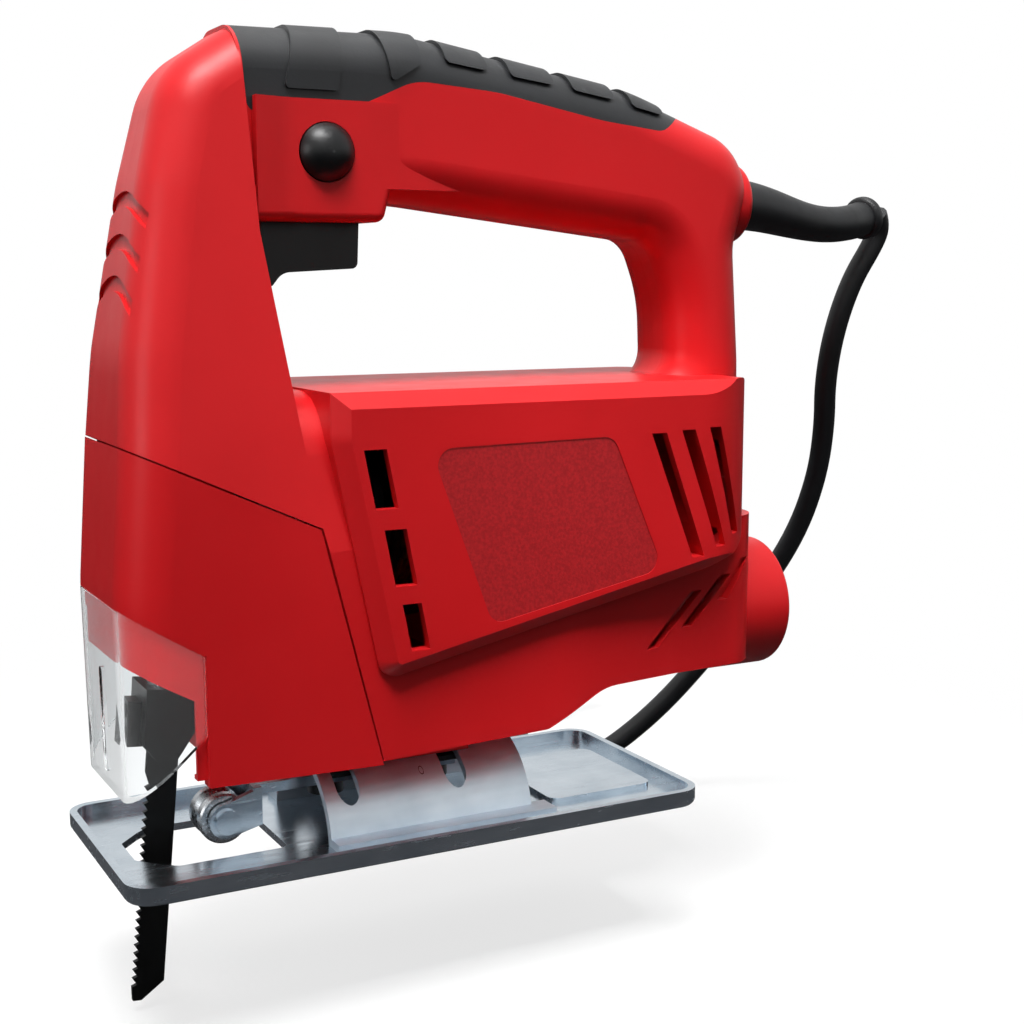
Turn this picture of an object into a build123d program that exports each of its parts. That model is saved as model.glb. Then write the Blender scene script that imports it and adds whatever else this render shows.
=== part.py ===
# Corded jigsaw, built piece by piece in millimetres, sole face at z = 0, cord end at +X
import os
from math import atan2, cos, pi, radians, sin, tan

from build123d import *

os.makedirs("parts", exist_ok=True)

# walls and gaps
wall = 2.5
handle_wall = 4.0
run_gap = 0.05
rest_gap = 0.02
seam_shift = (-0.3, -0.25)

# head and nose
head_r = 11.0
cheek_front = (-71.0, 24.3, 98.5)
cheek_rear = (-28.0, 26.9, 78.8)
cheek_top = (-61.0, 18.5, 150.0)
nose_bottom = 22.5
nose_front_half = 24.3
nose_rear_half = 27.6
chamber_rear = -47.5
chamber_side = -56.0
ceiling_z = 58.0

# handle
handle_half = 14.5
handle_r = 10.0
handle_front = -40.0
grip_deep = 2.0
pad_high = 0.8
collar_z = 152.5
collar_r = 10.5
collar_end = 100.9

# motor barrel and lower body
barrel_half = 32.0
barrel_top = 108.3
barrel_top_r = 21.0
barrel_band = 3.5
barrel_end = 94.6
barrel_end_r = 24.0
lower_half = 27.6
neck_top = 107.8
neck_r = 15.0
port_z = 44.5
port_r = 17.5
port_end = 110.5
port_wall_x = 64.0

# switch box, trigger and lock button
box_front = -37.0
box_rear = -6.0
box_bottom = 145.5
box_half = 15.4
box_flare = 2.2
trigger_front = -33.0
trigger_rear = -9.5
trigger_half = 8.0
button_x = -20.0
button_z = 160.6
button_r = 6.4
button_lip = 0.8

# motor and gear train
motor_z = 78.0
shaft_r = 3.0
tooth_module = 0.9
pinion_teeth = 9
gear_teeth = 40
gear_z = motor_z + tooth_module * (pinion_teeth + gear_teeth) / 2
gear_front = -43.4
gear_thick = 4.0
crank_r = 9.0
crank_pin_r = 2.5
crank_roller_r = 4.0
plate_front = -39.2
plate_rear = -36.0
bearing_r = 9.5
field_r = 26.5
armature_r = 17.0
commutator_r = 10.0

# plunger and blade line
rake = 5.5
blade_foot = -59.6
plunger_r = 4.5
bush_r = 6.5
slot_spare = 2.4
plunger_foot = 37.0
plunger_long = 114.0
blade_wide = 7.5
blade_thick = 1.2
blade_tip = -34.9

# base plate and bevel saddle
plate_long = 147.0
plate_wide = 63.0
plate_corner = 6.5
plate_sheet = 1.8
plate_rim = 4.6
saddle_r = 20.0
saddle_sheet = 2.0
saddle_front = -23.5
saddle_rear = 29.5
foot_rear = 34.0
foot_half = 24.5
base_screw_x = (-17.2, 10.9)
slot_reach = 59.0
base_screw_r = 2.5
strap_top = 14.6
strap_thick = 2.4
roller_x = -44.2
roller_z = 7.5
roller_pin_r = 1.8

# cord
cord_d = 6.4
coil_x = 60.0
coil_y = 137.5
coil_z = -32.8
coil_layer = 6.9
coil_r = 47.5
coil_pitch = 7.0
half_turns = 6
relief_bore = cord_d / 2 + run_gap

slide_dir = Vector(sin(radians(rake)), 0, cos(radians(rake)))
slide_slope = tan(radians(rake))


def plunger_x(z):
    return blade_foot + slide_slope * z


# Draw a closed outline from corners given as two coordinates and a rounding radius
def outline(corners):
    FilletPolyline(
        *[c[:2] for c in corners],
        radius=[c[2] if len(c) > 2 else 0 for c in corners],
        close=True,
    )


# Face in the side view, drawn in by an even distance
def side_sketch(corners, inset=0.0):
    with BuildSketch(Plane.XZ) as s:
        with BuildLine():
            outline(corners)
        make_face()
        if inset:
            offset(amount=-inset, kind=Kind.INTERSECTION)
    return s.sketch


# Block cut by a side-view outline, from one y to a lower y
def side_prism(corners, y_high, y_low):
    with BuildPart() as p:
        with BuildSketch(Plane.XZ.offset(-y_high)):
            with BuildLine():
                outline(corners)
            make_face()
        extrude(amount=y_high - y_low)
    return p.part


def block(x0, x1, y0, y1, z0, z1):
    with BuildPart() as p:
        with Locations(((x0 + x1) / 2, (y0 + y1) / 2, (z0 + z1) / 2)):
            Box(x1 - x0, y1 - y0, z1 - z0)
    return p.part


# Round bar or tube standing on a plane
def bar(plane, length, radius, hole=0.0):
    with BuildPart() as p:
        with BuildSketch(plane):
            Circle(radius)
            if hole:
                Circle(hole, mode=Mode.SUBTRACT)
        extrude(amount=length)
    return p.part


def along_x(x, z, y=0.0):
    return Plane(origin=(x, y, z), x_dir=(0, 1, 0), z_dir=(1, 0, 0))


def along_y(x, y, z, side=1):
    return Plane(origin=(x, y, z), x_dir=(1, 0, 0), z_dir=(0, side, 0))


def along_z(x, y, z):
    return Plane(origin=(x, y, z), x_dir=(1, 0, 0), z_dir=(0, 0, 1))


# Plane across the plunger line at height z
def across_plunger(z):
    return Plane(origin=(plunger_x(z), 0, z), x_dir=(0, 1, 0), z_dir=slide_dir)


# Flat side plane through three points, mirrored by side, moved in by inset
def side_plane(points, side, inset):
    a, b, c = (Vector(x, side * y, z) for x, y, z in points)
    n = (b - a).cross(c - a).normalized()
    if n.Y * side < 0:
        n = n * -1
    return Plane(origin=a - n * inset, x_dir=(b - a).normalized(), z_dir=n)


def side_rims(shape):
    return [e for f in shape.faces() if abs(f.normal_at().Y) > 0.9 for e in f.edges()]


head_corners = (
    (-70.15, 76.0),
    (-67.2, 116.0, 80.0),
    (-61.2, 153.0, 40.0),
    (-55.4, 176.8, 20.0),
    (-37.0, 188.9, 18.0),
    (-20.0, 188.9),
    (-20.0, 150.0),
    (-37.4, 143.0),
    (-27.0, 76.0),
)


# Rear edge of the head, where the handle and the opening begin
head_trim = (
    (-90.0, 60.0),
    (-90.0, 210.0),
    (-40.6, 210.0),
    (-37.4, 143.0),
    (-27.0, 76.0),
    (-24.6, 60.0),
)


def head_form(inset=0.0):
    with BuildPart() as body:
        extrude(side_sketch(head_corners, inset), amount=40, both=True)
        for side in (-1, 1):
            cheek = side_plane((cheek_front, cheek_rear, cheek_top), side, inset)
            split(bisect_by=cheek, keep=Keep.BOTTOM)
        rims = [e for e in side_rims(body) if e.center().Z > 77 + inset]
        keep = [e for e in rims if e.center().X < -50 or e.center().Z > 165]
        fillet(keep, head_r - inset)
        extrude(side_sketch(head_trim, inset), amount=60, both=True, mode=Mode.INTERSECT)
    return body.part


# Neck between the head and the motor barrel, with the same side planes as the head
def neck_form():
    corners = ((-33.0, neck_top), (20.0, neck_top), (20.0, 60.0), (-25.6, 60.0))
    with BuildPart() as body:
        extrude(side_sketch(corners), amount=lower_half, both=True)
        for side in (-1, 1):
            split(bisect_by=side_plane((cheek_front, cheek_rear, cheek_top), side, 0.0), keep=Keep.BOTTOM)
        fillet(body.faces().sort_by(Axis.Z)[-1].edges().filter_by(Axis.X, tolerance=2), neck_r)
    return body.part


def nose_form(inset=0.0, bottom=nose_bottom):
    corners = ((-70.2, bottom), (-71.1, 63.0, 60.0), (-68.0, 105.0), (-20.0, 105.0), (-5.0, bottom))
    tip, rear = nose_front_half - 1.2, nose_rear_half + 0.2
    with BuildPart() as body:
        extrude(side_sketch(corners, inset), amount=40, both=True)
        with BuildSketch(Plane.XY):
            with BuildLine():
                outline(((-90, -tip), (-10, -rear), (10, -rear), (10, rear), (-10, rear), (-90, tip)))
            make_face()
            if inset:
                offset(amount=-inset, kind=Kind.INTERSECTION)
        extrude(amount=150, mode=Mode.INTERSECT)
        front = [e for e in body.edges() if e.center().X < -60 and abs(e.center().Y) > 15]
        keep = [e for e in front if e.length > 10 and bottom + inset + 1 < e.center().Z < 104 - inset]
        fillet(keep, head_r - inset)
    return body.part


handle_corners = (
    (handle_front, 187.8),
    (2.0, 188.4, 60.0),
    (62.0, 178.8, 80.0),
    (94.0, 167.6, 16.0),
    (100.0, 157.0, 13.0),
    (95.7, 141.0, 14.0),
    (97.8, 112.0, 60.0),
    (98.2, 92.0),
    (50.0, 92.0),
    (50.0, 107.3),
    (76.8, 107.3, 7.0),
    (75.9, 128.0, 40.0),
    (70.3, 142.2, 9.0),
    (2.0, 150.2, 60.0),
    (handle_front + 2.0, 149.6),
)


def handle_form(inset=0.0):
    with BuildPart() as body:
        extrude(side_sketch(handle_corners, inset), amount=handle_half - inset, both=True)
        rims = side_rims(body)
        keep = [e for e in rims if e.center().X > handle_front + 9 and e.center().Z > 93 + inset]
        keep = [e for e in keep if not (e.center().X < 52 + inset and e.center().Z < 120)]
        fillet(keep, handle_r - inset)
    return body.part


barrel_corners = (
    (-25.5, barrel_top),
    (-25.5, 98.0, 12.0),
    (-14.0, 42.5, 4.5),
    (80.0, 62.0, 40.0),
    (barrel_end, 71.0),
    (barrel_end, barrel_top, 9.0),
)


def barrel_form(inset=0.0):
    half = barrel_half
    inset = max(inset, 0.01)
    with BuildPart() as body:
        extrude(side_sketch(barrel_corners, inset), amount=half - barrel_band - inset, both=True)
        for side in (-1, 1):
            for out, draw in ((half - barrel_band - inset, inset), (half - inset, inset + barrel_band)):
                with BuildSketch(Plane.XZ.offset(side * out)):
                    with BuildLine():
                        outline(barrel_corners)
                    make_face()
                    offset(amount=-draw, kind=Kind.INTERSECTION)
            loft(ruled=True)
        y, top, r = half - inset, barrel_top - inset, barrel_top_r - inset
        with BuildSketch(Plane.YZ.offset(-60)):
            with BuildLine():
                outline(((-y, 20), (y, 20), (y, top, r), (-y, top, r)))
            make_face()
        extrude(amount=200, mode=Mode.INTERSECT)
        end, r = barrel_end - inset, barrel_end_r - inset
        with BuildSketch(Plane.XY):
            with BuildLine():
                outline(((-60, -half), (end, -y, r), (end, y, r), (-60, half)))
            make_face()
        extrude(amount=200, mode=Mode.INTERSECT)
    return body.part


lower_corners = ((-40, nose_bottom), (30, 25.0, 4), (47, 33.0, 16), (98, 33), (98, 72), (-40, 72))


def lower_form(inset=0.0):
    half = lower_half
    with BuildPart() as body:
        extrude(side_sketch(lower_corners, inset), amount=half - inset, both=True)
        a, b, c = half - inset, 22.5 - inset, 20.5 - inset
        right = ((36, -a, 40), (70, -b, 40), (98 - inset, -c, 10 - inset))
        left = tuple((x, -y, r) for x, y, r in reversed(right))
        with BuildSketch(Plane.XY):
            with BuildLine():
                outline(((-60, -half), *right, *left, (-60, half)))
            make_face()
        extrude(amount=200, mode=Mode.INTERSECT)
    return body.part


def port_form(inset=0.0):
    with BuildPart() as body:
        with BuildSketch(along_x(40 + inset, port_z)):
            Circle(port_r - inset)
        extrude(amount=port_end - 40 if inset == 0 else port_end - 40 + 5)
        if not inset:
            fillet(body.faces().sort_by(Axis.X)[-1].edges(), 1.2)
    return body.part


def switch_form(inset=0.0):
    y = box_half - inset
    wide = y + box_flare
    tail = ((box_rear, box_bottom, 2.5), (box_rear + 2.0, 153.0), (16.0, 153.0), (16.0, 172.0))
    corners = ((box_front, box_bottom), *tail, (box_front, 172.0))
    right = ((box_front, -wide), (box_front + 8.0, -y, 14.0), (box_rear - 4.0, -y, 40.0), (18.0, 3.2 - y))
    left = tuple((a, -b, *c) for a, b, *c in reversed(right))
    with BuildPart() as body:
        extrude(side_sketch(corners, inset), amount=wide, both=True)
        with BuildSketch(Plane.XY):
            with BuildLine():
                outline((*right, *left))
            make_face()
        extrude(amount=250, mode=Mode.INTERSECT)
        if not inset:
            low = [e for e in body.edges() if e.center().Z < box_bottom + 0.1]
            fillet([e for e in low if abs(e.center().Y) > y - 1], 2.0)
    return body.part


def collar_form():
    with BuildPart() as body:
        add(bar(along_x(80.0, collar_z), collar_end - 80.0, collar_r))
        fillet(body.faces().sort_by(Axis.X)[-1].edges(), 2.0)
    return body.part


def union(forms):
    with BuildPart() as whole:
        add(forms)
    return whole.part


def common(a, b):
    with BuildPart() as p:
        add(a)
        add(b, mode=Mode.INTERSECT)
    return p.part


def minus(a, *others):
    with BuildPart() as p:
        add(a)
        add(others, mode=Mode.SUBTRACT)
    return p.part


# Outer body, its hollow, and the zone of the nose cover
barrel_skin = barrel_form()
head_skin = head_form()
handle_skin = handle_form()
handle_under = handle_form(grip_deep)
handle_over = handle_form(-pad_high)
nose_skin = nose_form()
skin = union(
    [
        barrel_skin,
        head_skin,
        handle_skin,
        neck_form(),
        lower_form(),
        port_form(),
        switch_form(),
        collar_form(),
    ]
)
seam = ((-90.0, 107.2), (-27.0, 78.3), (-13.2, 23.0), (-11.4, 15.8), (-11.4, 0.0), (-90.0, 0.0))
nose_zone = side_prism(seam, 60, -60)
nose_hollow = common(nose_form(wall), nose_zone)
with BuildPart() as neck_bore:
    with BuildSketch(Plane.YZ.offset(-45)):
        with BuildLine():
            outline(((-23.0, 50.0), (23.0, 50.0), (23.0, 104.0, 15.0), (-23.0, 104.0, 15.0)))
        make_face()
    extrude(amount=45)
neck_hollow = neck_bore.part
hollow = union(
    [
        barrel_form(wall),
        head_form(wall),
        handle_form(handle_wall),
        lower_form(wall),
        port_form(wall),
        switch_form(wall),
        nose_hollow,
        neck_hollow,
    ]
)
nose_inside = side_prism([(x + seam_shift[0], z + seam_shift[1]) for x, z in seam], 60, -60)
head_deep = head_form(1.0)
nose_deep = nose_form(1.0)
body_deep = union([barrel_form(1.0), lower_form(1.0)])

# Ribs that hold the inner pieces
web_low = 136.0
bush_start = web_low - 6.0
plunger_reach = plunger_foot + plunger_long + crank_r + 2.0
bush_line = bar(across_plunger(bush_start), plunger_reach - bush_start, bush_r + rest_gap)
bush_web = minus(common(block(-75, -25, -30, 30, web_low, web_low + 6.0), head_deep), bush_line)
plate_half = 19.5
rib_thick = 2.2
plate_ribs = []
for side in (-1, 1):
    low, high = sorted((side * 15.5, side * 30.0))
    lower_rib = block(plate_rear + rest_gap, plate_rear + rib_thick, low, high, 88, 94)
    plate_ribs.append(common(lower_rib, head_deep))
    low, high = sorted((side * 17.9, side * 30.0))
    upper_rib = block(plate_front - rib_thick, plate_front - rest_gap, low, high, 108, 114)
    plate_ribs.append(common(upper_rib, head_deep))
field_ribs = [
    minus(
        common(block(x, x + 2.5, -40, 40, 46, 107), body_deep),
        bar(along_x(x - 1, motor_z), 5, field_r + rest_gap),
    )
    for x in (4.0, 32.0)
]
rear_bearing_x = 70.0
bearing_wide = 6.0
rib_front = rear_bearing_x - 1.5
rib_rear = rear_bearing_x + bearing_wide + 1.5
rib_low = port_z + port_r - wall + 0.5
bearing_rib = minus(
    common(block(rib_front, rib_rear, -40, 40, rib_low, 107), body_deep),
    bar(along_x(rear_bearing_x - 2, motor_z), bearing_wide + 2 + rest_gap, bearing_r + rest_gap),
    bar(along_x(rear_bearing_x, motor_z), 20, shaft_r + 2),
)
brush_x = 57.0
brush_seats = []
for side in (-1, 1):
    low, high = sorted((side * 26.0, side * 40.0))
    brush_seats.append(common(block(brush_x - 4.5, brush_x + 4.5, low, high, 73, 83), body_deep))
switch_half = 6.5
switch_low = 158.0
switch_high = 170.0
switch_front = -31.0
switch_rear = -3.0
switch_ribs = []
for side in (-1, 1):
    for x in (-10.0, -6.0):
        low, high = sorted((side * (switch_half + rest_gap), side * 14.0))
        switch_ribs.append(block(x, x + 2.0, low, high, switch_low, switch_high))
dust_tube = union(
    [
        bar(along_x(port_wall_x, port_z), 33, port_r - 0.9, port_r - wall),
        bar(along_x(port_wall_x - 2, port_z), 2.5, port_r - 0.9),
    ]
)
screw_spots = ((-47.0, 169.0), (40.0, 164.5), (86.6, 126.0), (88.0, 86.0), (51.0, 41.0))
screw_r = 1.75
boss_bars = union([bar(along_y(x, -40, z), 80, 4.2) for x, z in screw_spots])
bosses = common(boss_bars, skin)
nut_low = 33.0
nut_high = 37.0
nut_bosses = [bar(along_z(x, 0, nose_bottom + 1), nut_low - nose_bottom - 1, 5.0) for x in base_screw_x]
cradle = bar(along_x(-60, 0), 140, saddle_r + run_gap)
pad_spans = ((base_screw_x[0] - 8.8, base_screw_x[0] + 4.8), (-10.9, base_screw_x[1] + 6.0))
pads = [minus(block(a, b, -10, 10, 14, nose_bottom + 2), cradle) for a, b in pad_spans]
base_screw_holes = [bar(along_z(x, 0, 0), 33.5, base_screw_r + 0.2) for x in base_screw_x]

# Openings in the halves
vents = (
    ((-19.2, 95.8), (-13.7, 95.8), (-11.0, 82.4), (-16.5, 82.4)),
    ((-14.5, 77.7), (-9.1, 77.7), (-6.5, 64.7), (-11.9, 64.7)),
    ((-10.3, 60.5), (-5.6, 60.5), (-3.4, 49.6), (-8.1, 49.6)),
    ((55.7, 96.0), (60.0, 96.0), (71.6, 64.8), (68.0, 64.8)),
    ((64.4, 96.4), (68.4, 96.4), (79.0, 66.7), (75.6, 66.7)),
    ((72.7, 96.7), (76.4, 96.7), (85.0, 69.2), (81.8, 69.2)),
)
low_slots = (
    ((60.2, 40.5), (64.0, 40.5), (78.0, 53.8), (74.6, 53.8)),
    ((71.4, 44.7), (75.0, 44.7), (87.6, 57.1), (84.2, 57.1)),
    ((83.2, 50.6), (86.6, 50.6), (94.0, 60.9), (91.0, 60.9)),
)
vent_cuts = [side_prism(v, y + 13, y) for v in vents for y in (-37.0, 24.0)]
slot_cuts = [side_prism(v, y + 11.2, y) for v in low_slots for y in (-30.0, 18.8)]
side_cuts = union(vent_cuts + slot_cuts)
relief_hole = bar(along_x(88.0, collar_z), 20, 7.05)
relief_pocket = bar(along_x(90.0, collar_z), 5.2, 8.6)
slot_half = trigger_half + 0.3
trigger_slot = block(
    trigger_front - 0.4,
    trigger_rear + 0.4,
    -slot_half,
    slot_half,
    box_bottom - 2,
    box_bottom + wall + 0.5,
)
button_hole = bar(along_y(button_x, -20.0, button_z), 9.0, button_r + 0.25)
bore_holes = union([bar(along_y(x, -9.0, z), 60, screw_r - 0.1) for x, z in screw_spots])

# Three arched grooves across the front of the head
groove_bars = []
for z in (150.2, 141.0, 132.0):
    with BuildPart() as groove:
        with BuildSketch(Plane.YZ.offset(-90)):
            with BuildLine():
                ThreePointArc((-14.5, z - 3.6), (0, z + 1.6), (14.5, z - 3.6))
                Line((14.5, z - 3.6), (14.5, z - 7.0))
                ThreePointArc((14.5, z - 7.0), (0, z - 1.8), (-14.5, z - 7.0))
                Line((-14.5, z - 7.0), (-14.5, z - 3.6))
            make_face()
        extrude(amount=50)
    groove_bars.append(groove.part)
grooves = minus(common(union(groove_bars), head_skin), head_form(0.9))

# Soft grip zone on top of the handle
grip_line = (
    (-39.45, 190.0),
    (-38.45, 174.0),
    (-37.9, 168.2, 3.0),
    (-15.6, 169.3, 8.0),
    (2.0, 177.3, 14.0),
    (23.0, 175.8, 60.0),
    (52.0, 170.6, 60.0),
    (69.5, 168.8, 6.0),
    (76.0, 172.6, 6.0),
    (85.0, 173.4),
    (85.0, 200.0),
    (-39.45, 200.0),
)
grip_prism = side_prism(grip_line, 30, -30)
grip_cut = minus(common(handle_over, grip_prism), handle_under)
grip_skin = minus(common(handle_skin, grip_prism), handle_under)
pad_shapes = (
    ((-25.0, 195.0), (-14.0, 195.0), (-17.0, 174.0, 1.0), (-29.5, 174.0, 1.0)),
    ((-7.0, 195.0), (4.0, 195.0), (3.4, 181.0, 2.0), (-4.0, 176.5, 1.0)),
    ((10.0, 195.0), (21.0, 195.0), (21.0, 180.6, 1.5), (10.0, 182.0, 1.5)),
    ((27.0, 195.0), (39.0, 195.0), (39.0, 178.4, 1.5), (27.0, 179.8, 1.5)),
    ((44.0, 195.0), (56.0, 195.0), (56.0, 175.8, 1.5), (44.0, 177.6, 1.5)),
    ((61.0, 195.0), (71.0, 195.0), (71.0, 172.8, 1.5), (61.0, 174.6, 1.5)),
)
pad_prisms = union([side_prism(shape, 30, -30) for shape in pad_shapes])
grip_pads = minus(common(common(handle_over, pad_prisms), grip_prism), handle_under)
grip_whole = union([grip_skin, grip_pads])

# Label recess on the left side
label_line = ((-3.0, 95.2, 4.0), (45.0, 95.8, 4.0), (59.4, 62.6, 4.0), (12.5, 53.5, 4.0))
label_zone = side_prism(label_line, -20, -40)
label_cut = minus(common(barrel_skin, label_zone), barrel_form(0.9))

halves = minus(skin, hollow, nose_zone)
halves = union(
    [halves, bush_web, *plate_ribs, *field_ribs, bearing_rib, *brush_seats, *switch_ribs, dust_tube, bosses]
    + [nut_bosses[1], pads[1]]
)
halves = minus(
    halves,
    nose_zone,
    grip_cut,
    grooves,
    relief_hole,
    relief_pocket,
    trigger_slot,
    bore_holes,
    base_screw_holes[1],
    cradle,
    bush_line,
)

# Housing halves
split_gap = 0.02
with BuildPart() as left_housing:
    add(halves)
    split(bisect_by=Plane.XZ.offset(split_gap), keep=Keep.TOP)
    add(side_cuts, mode=Mode.SUBTRACT)
    add(label_cut, mode=Mode.SUBTRACT)
    add(button_hole, mode=Mode.SUBTRACT)

screw_head_r = 3.2
screw_seat_y = (11.0, 9.0, 9.0, 22.0, 20.0)
screw_seats = union(
    [bar(along_y(x, y, z), 40, screw_head_r + 0.2) for (x, z), y in zip(screw_spots, screw_seat_y)]
)
with BuildPart() as right_housing:
    add(halves)
    split(bisect_by=Plane.XZ.offset(-split_gap), keep=Keep.BOTTOM)
    add(side_cuts, mode=Mode.SUBTRACT)
    add(screw_seats, mode=Mode.SUBTRACT)

with BuildPart() as housing_screws:
    for (x, z), y in zip(screw_spots, screw_seat_y):
        with BuildSketch(along_y(x, -8.5, z)):
            Circle(screw_r - 0.15)
        extrude(amount=y + 8.6)
        with BuildSketch(along_y(x, y + rest_gap, z)):
            Circle(screw_head_r)
        extrude(amount=2.2)
        with BuildSketch(along_y(x, y + 1.2, z)):
            Rectangle(3.6, 0.8)
            Rectangle(0.8, 3.6)
        extrude(amount=1.5, mode=Mode.SUBTRACT)

# Soft grips, one on each half
with BuildPart() as left_grip:
    add(grip_whole)
    split(bisect_by=Plane.XZ.offset(split_gap), keep=Keep.TOP)

with BuildPart() as right_grip:
    add(grip_whole)
    split(bisect_by=Plane.XZ.offset(-split_gap), keep=Keep.BOTTOM)

# Bare label plate in its recess
label_slab = minus(common(barrel_form(0.2), label_zone), barrel_form(0.88))
with BuildPart() as label_plate:
    add(label_slab)

# Nose cover with the blade chamber, its ceiling and rear wall
guard_rear = -54.0
guard_line = (
    (-90.0, 73.6),
    (guard_rear, 52.0, 1.0),
    (guard_rear, 34.0, 1.0),
    (-73.7, 15.6),
    (-74.0, 15.0),
    (-90.0, 15.0),
)
rebate_line = ((-90.0, 73.85), (guard_rear + 0.25, 52.1), (guard_rear + 0.25, 10.0), (-90.0, 10.0))
guard_thick = 1.5
chamber_line = ((-90.0, 61.1), (chamber_side, 42.0), (chamber_side, 10.0), (-90.0, 10.0))
rebate_zone = side_prism(rebate_line, 40, -40)
rebate = minus(common(nose_form(-0.5), rebate_zone), nose_form(guard_thick + rest_gap))
ceiling = common(block(-80, chamber_rear + wall, -30, 30, ceiling_z, ceiling_z + 3), nose_deep)
wall_end = chamber_rear + wall
rear_wall = common(block(chamber_rear, wall_end, -30, 30, nose_bottom + 1, ceiling_z + 1), nose_deep)
bush_boss = bar(across_plunger(ceiling_z + 1.5), 7.0, bush_r + 2.5)
low_bush_line = bar(across_plunger(ceiling_z - 10), 30.0, bush_r + rest_gap)
low_ribs = []
for side in (-1, 1):
    low, high = sorted((side * 12.0, side * 30.0))
    front_rib = block(plate_front - rib_thick, plate_front - rest_gap, low, high, 62, 73)
    low_ribs.append(common(front_rib, nose_deep))
    low, high = sorted((side * 15.0, side * 30.0))
    rear_rib = block(plate_rear + rest_gap, plate_rear + rib_thick, low, high, 62, 71)
    low_ribs.append(common(rear_rib, nose_deep))
chamber_side_cut = side_prism(chamber_line, 40, -40)
chamber_block = block(-80, chamber_rear, -21.2, 21.2, 10, ceiling_z)
cover = minus(common(nose_skin, nose_inside), hollow)

# Tongue on the cover that stands behind the front of the seam, so that no light comes through
tongue_thick = 1.2
tongue_rear = -46.0
tongue_line = ((-90.0, 110.6), (tongue_rear, 90.4), (tongue_rear, 83.6), (-90.0, 103.8))
tongue_zone = side_prism(tongue_line, 60, -60)
tongue_core = head_form(wall + tongue_thick)
tongue_root = minus(common(head_form(wall - 0.6), common(tongue_zone, nose_inside)), tongue_core)
tongue_tip = minus(common(head_form(wall + 0.15), tongue_zone), tongue_core)
front_boss = common(nut_bosses[0], nose_inside)
front_pad = common(pads[0], nose_inside)
with BuildPart() as nose_cover:
    add(cover)
    for piece in (ceiling, rear_wall, bush_boss, *low_ribs, front_boss, front_pad, tongue_root, tongue_tip):
        add(piece)
    for piece in (low_bush_line, chamber_side_cut, chamber_block, rebate, base_screw_holes[0], cradle):
        add(piece, mode=Mode.SUBTRACT)

# Clear guard around the front of the blade
guard_bottom = 15.5
guard_shell = minus(nose_form(0.0, guard_bottom), nose_form(guard_thick, guard_bottom - 6))
guard_shell = common(guard_shell, side_prism(guard_line, 40, -40))
with BuildPart() as blade_guard:
    add(guard_shell)
    with BuildSketch(Plane.YZ.offset(-80)):
        with Locations((0, 34.2)):
            SlotOverall(24.5, 2.6, rotation=90)
    extrude(amount=15, mode=Mode.SUBTRACT)

# Pressed sole plate with upturned rim and blade window
window = (
    (-66.0, -6.0, 1.5),
    (-61.0, -11.5, 2.0),
    (-58.0, -14.0, 2.0),
    (-32.0, -14.0, 2.0),
    (-32.0, 14.0, 2.0),
    (-58.0, 14.0, 2.0),
    (-61.0, 11.5, 2.0),
    (-66.0, 6.0, 1.5),
)
with BuildPart() as base_plate:
    with BuildSketch(Plane.XY):
        RectangleRounded(plate_long, plate_wide, plate_corner)
    extrude(amount=plate_rim)
    with BuildSketch(Plane.XY.offset(plate_sheet)):
        inner_long, inner_wide = plate_long - 2 * plate_sheet, plate_wide - 2 * plate_sheet
        RectangleRounded(inner_long, inner_wide, plate_corner - plate_sheet)
    extrude(amount=plate_rim, mode=Mode.SUBTRACT)
    fillet(base_plate.faces().sort_by(Axis.Z)[0].edges(), 1.7)
    with BuildSketch(Plane.XY.offset(plate_sheet)):
        with Locations((52.0, 0)):
            RectangleRounded(30, 34, 3)
    extrude(amount=1.2)
    with BuildSketch(Plane.XY):
        with BuildLine():
            outline(window)
        make_face()
    extrude(amount=plate_rim, mode=Mode.SUBTRACT)

# Bevel saddle, a half round channel with feet and two arc slots
foot_low = plate_sheet + rest_gap
saddle_in = saddle_r - saddle_sheet
slot_long = 2 * saddle_r * sin(radians(slot_reach))
with BuildPart() as base_saddle:
    with BuildSketch(along_x(saddle_front, 0)):
        Circle(saddle_r)
        Circle(saddle_in, mode=Mode.SUBTRACT)
        with Locations((0, foot_low - 30)):
            Rectangle(60, 60, mode=Mode.SUBTRACT)
    extrude(amount=saddle_rear - saddle_front)
    for side in (-1, 1):
        low, high = sorted((side * saddle_in, side * foot_half))
        add(block(saddle_front, foot_rear, low, high, foot_low, foot_low + saddle_sheet))
    with BuildSketch(Plane.XY.offset(plate_rim)):
        for x in base_screw_x:
            with Locations((x, 0)):
                SlotOverall(slot_long, 2 * base_screw_r + 0.8, rotation=90)
    extrude(amount=saddle_r, mode=Mode.SUBTRACT)

# Shoe and screws that hold the saddle to the body
shoe_low = strap_top + rest_gap
shoe_front = base_screw_x[0] - 5.0
shoe_rear = base_screw_x[1] + 5.0
with BuildPart() as clamp_shoe:
    add(bar(along_x(shoe_front, 0), shoe_rear - shoe_front, saddle_in - run_gap))
    with Locations(((shoe_front + shoe_rear) / 2, 0, shoe_low + 10)):
        Box(shoe_rear - shoe_front, 16.8, 20, mode=Mode.INTERSECT)
    with BuildSketch(Plane.XY):
        for x in base_screw_x:
            with Locations((x, 0)):
                Circle(base_screw_r + 0.2)
    extrude(amount=30, mode=Mode.SUBTRACT)

strap_low = strap_top - strap_thick
with BuildPart() as base_screws:
    for x in base_screw_x:
        with BuildSketch(along_z(x, 0, strap_low - rest_gap)):
            Circle(4.4)
        extrude(amount=-3.0)
        with BuildSketch(along_z(x, 0, strap_low - 1.0)):
            Circle(base_screw_r)
        extrude(amount=nut_high + 1.0 - strap_low)
        with BuildSketch(along_z(x, 0, strap_low - 4.0)):
            RegularPolygon(2.2, 6)
        extrude(amount=2.0, mode=Mode.SUBTRACT)

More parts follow.
